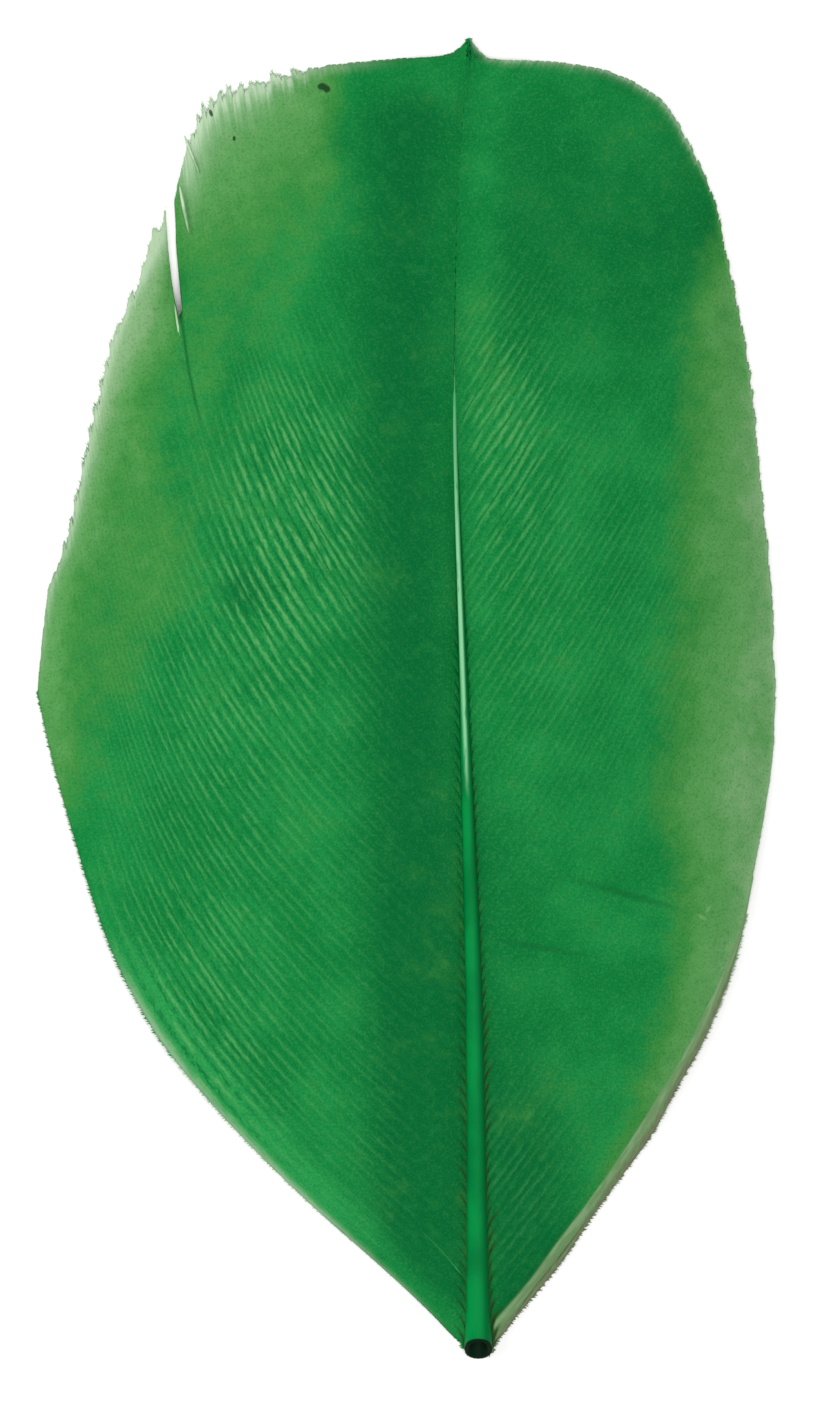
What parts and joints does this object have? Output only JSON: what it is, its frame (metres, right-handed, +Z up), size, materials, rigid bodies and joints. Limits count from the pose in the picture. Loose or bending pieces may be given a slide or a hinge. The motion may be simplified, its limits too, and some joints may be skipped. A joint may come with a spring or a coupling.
{
  "type": "turkey wing feather",
  "caption": "Loose dyed wing feather with a stiff shaft, a wide rounded vane on each side, a slit in the left vane and a trimmed quill, lying flat.",
  "frame": {"origin": "centre of the feather's outline as seen from above, on the surface it lies on", "axes": "+Y along the feather from the cut quill to the tip, +X to the right seen from above with the tip up, +Z up out of the upper side"},
  "size_m": [0.039, 0.07, 0.0044],
  "materials": {
    "vane": "matte dyed barbs with a faint sheen",
    "shaft": "smooth satin dyed keratin"
  },
  "bodies": {
    "root": {"feather": "vane"}
  },
  "joints": []
}
